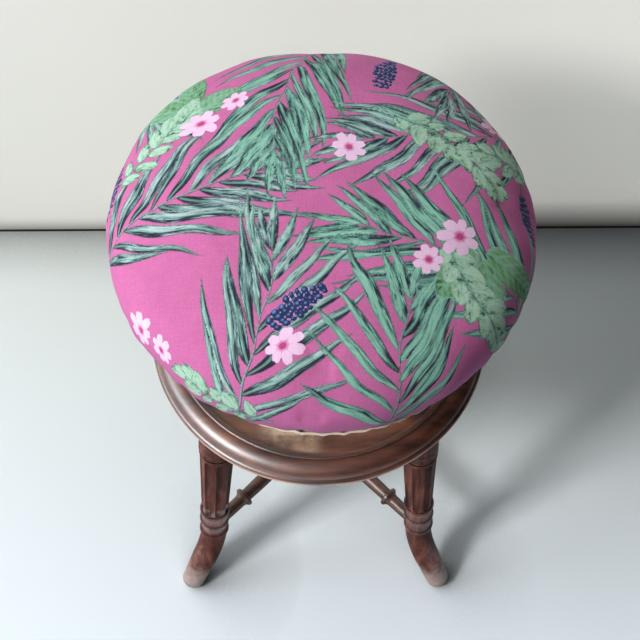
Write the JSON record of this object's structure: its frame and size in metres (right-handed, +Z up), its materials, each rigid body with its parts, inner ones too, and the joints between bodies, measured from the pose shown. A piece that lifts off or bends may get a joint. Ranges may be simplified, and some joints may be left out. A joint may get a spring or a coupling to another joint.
{
  "type": "revolving piano stool",
  "caption": "Round stuffed seat on a coarse screw spindle over a dished turned ring, on splayed fluted legs tied by turned rails; turning the seat sets its height.",
  "frame": {"origin": "on the stool's vertical axis, at floor level", "axes": "+Z up along the screw spindle; -Y is the front, with two legs at the front corners; +X to the right seen from the front"},
  "size_m": [0.34, 0.34, 0.6026],
  "materials": {
    "ring_mahogany": "satin",
    "leg_mahogany": "satin",
    "rail_mahogany": "satin",
    "iron_casting": "matte",
    "spindle_steel": "satin",
    "steel_fixings": "satin",
    "board_beech": "matte",
    "stuffing": "matte",
    "calico": "matte",
    "printed_cotton": "matte",
    "dust_cloth": "matte",
    "tack_steel": "satin"
  },
  "bodies": {
    "base": {"base_ring": "ring_mahogany", "leg_front_left": "leg_mahogany", "leg_front_right": "leg_mahogany", "leg_back_left": "leg_mahogany", "leg_back_right": "leg_mahogany", "stretcher_front_left": "rail_mahogany", "stretcher_front_right": "rail_mahogany", "stretcher_back_left": "rail_mahogany", "stretcher_back_right": "rail_mahogany", "centre_column": "rail_mahogany", "hub_finial": "rail_mahogany", "spindle_nut": "iron_casting", "nut_screws": "steel_fixings"},
    "lift": {"stop_washer": "steel_fixings"},
    "seat": {"spindle": "spindle_steel", "stop_nut": "steel_fixings", "seat_spider": "iron_casting", "spider_pin": "steel_fixings", "spider_screws": "steel_fixings", "seat_board": "board_beech", "stuffing_pad": "stuffing", "calico_lining": "calico", "seat_cover": "printed_cotton", "bottom_cloth": "dust_cloth", "cloth_tacks": "tack_steel"}
  },
  "joints": [
    {"name": "seat_rise", "type": "slide", "parent": "base", "child": "lift", "axis": [0, 0, 1], "range_m": [-0.104, 0.016]},
    {"name": "seat_spin", "type": "hinge", "parent": "lift", "child": "seat", "pos_m": [0, 0, 0.374], "axis": [0, 0, 1], "range_deg": [-4680, 720]}
  ],
  "couplings": [
    {"joint": "seat_rise", "follows": "seat_spin", "m_per_rad": 0.0012732}
  ]
}
